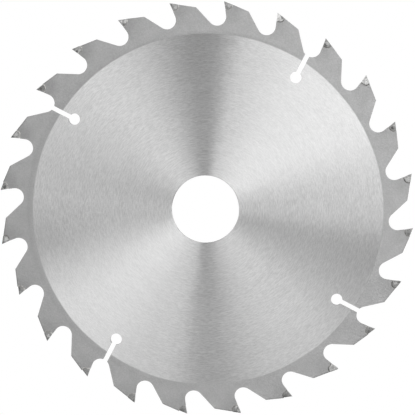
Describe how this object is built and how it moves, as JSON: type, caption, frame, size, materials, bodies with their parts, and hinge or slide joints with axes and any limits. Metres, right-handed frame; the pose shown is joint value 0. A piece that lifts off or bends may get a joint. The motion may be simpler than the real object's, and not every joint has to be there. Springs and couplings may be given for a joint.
{
  "type": "circular saw blade",
  "caption": "Flat toothed steel disc with brazed carbide tips, a central arbor bore and keyhole expansion slots, for ripping wood in a circular saw.",
  "frame": {"origin": "centre of the bore, halfway through the plate's thickness", "axes": "+Z is the axis that the blade turns on. Seen from +Z the teeth cut counter-clockwise, and the first tip's cutting point lies 9.9 degrees counter-clockwise of +X."},
  "size_m": [0.1842, 0.1842, 0.0026],
  "materials": {
    "saw_steel": "ground in rings round the bore, with a matte blasted rim",
    "tungsten_carbide": "fine ground",
    "braze": "dull, as it set"
  },
  "bodies": {
    "root": {"blade_plate": "saw_steel", "carbide_tip_01": "tungsten_carbide", "carbide_tip_02": "tungsten_carbide", "carbide_tip_03": "tungsten_carbide", "carbide_tip_04": "tungsten_carbide", "carbide_tip_05": "tungsten_carbide", "carbide_tip_06": "tungsten_carbide", "carbide_tip_07": "tungsten_carbide", "carbide_tip_08": "tungsten_carbide", "carbide_tip_09": "tungsten_carbide", "carbide_tip_10": "tungsten_carbide", "carbide_tip_11": "tungsten_carbide", "carbide_tip_12": "tungsten_carbide", "carbide_tip_13": "tungsten_carbide", "carbide_tip_14": "tungsten_carbide", "carbide_tip_15": "tungsten_carbide", "carbide_tip_16": "tungsten_carbide", "carbide_tip_17": "tungsten_carbide", "carbide_tip_18": "tungsten_carbide", "carbide_tip_19": "tungsten_carbide", "carbide_tip_20": "tungsten_carbide", "carbide_tip_21": "tungsten_carbide", "carbide_tip_22": "tungsten_carbide", "carbide_tip_23": "tungsten_carbide", "carbide_tip_24": "tungsten_carbide"}
  },
  "joints": []
}
